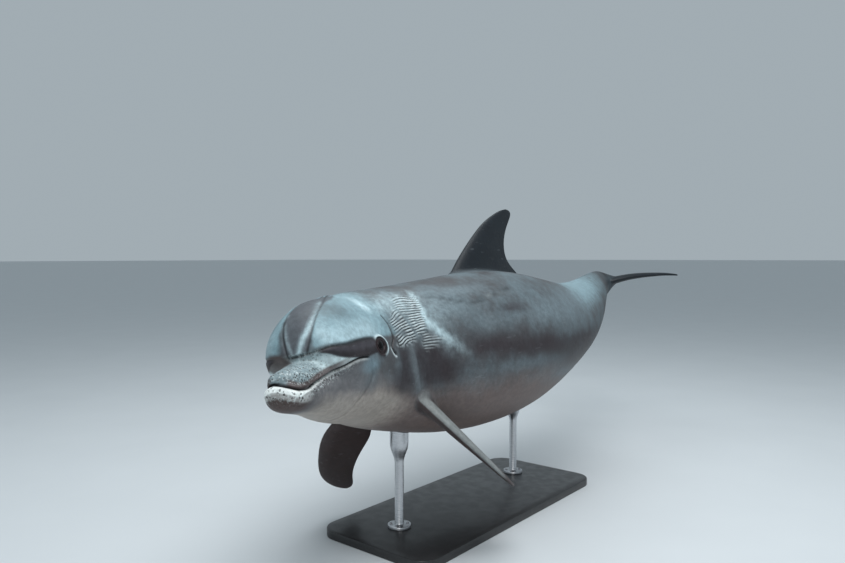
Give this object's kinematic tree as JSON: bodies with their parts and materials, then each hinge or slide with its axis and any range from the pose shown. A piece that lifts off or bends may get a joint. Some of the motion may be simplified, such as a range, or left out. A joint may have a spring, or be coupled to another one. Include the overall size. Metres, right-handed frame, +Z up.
{
  "type": "bottlenose dolphin",
  "caption": "Life-size bottlenose dolphin swimming, head turned to its left and tail raised, held up on a display stand with a flat base and short rods.",
  "frame": {"origin": "middle of the underside of the stand's base, on the floor; the trunk's long axis passes over it", "axes": "+X back along the trunk from the head towards the tail, +Y to the dolphin's right, +Z up"},
  "size_m": [2.4503, 0.7779, 0.9759],
  "materials": {
    "skin_flank": "smooth, wet-looking blue-grey skin, paler below",
    "skin_back": "smooth dark grey skin",
    "skin_fin": "smooth, near-black skin",
    "skin_beak": "smooth pale grey skin with pale lips",
    "eye": "wet, dark brown",
    "stand_plate": "satin black paint",
    "stand_rod": "brushed"
  },
  "bodies": {
    "root": {"eye_left": "eye", "eye_right": "eye", "blowhole": "skin_back", "head": "skin_flank", "beak_upper": "skin_beak", "beak_lower": "skin_beak", "neck": "skin_flank", "thorax": "skin_flank", "abdomen": "skin_flank", "tail_stock": "skin_flank", "dorsal_fin": "skin_fin", "fluke_left": "skin_fin", "fluke_right": "skin_fin", "flipper_left": "skin_fin", "flipper_right": "skin_fin", "stand_base": "stand_plate", "stand_rod_front": "stand_rod", "stand_rod_rear": "stand_rod"}
  },
  "joints": []
}
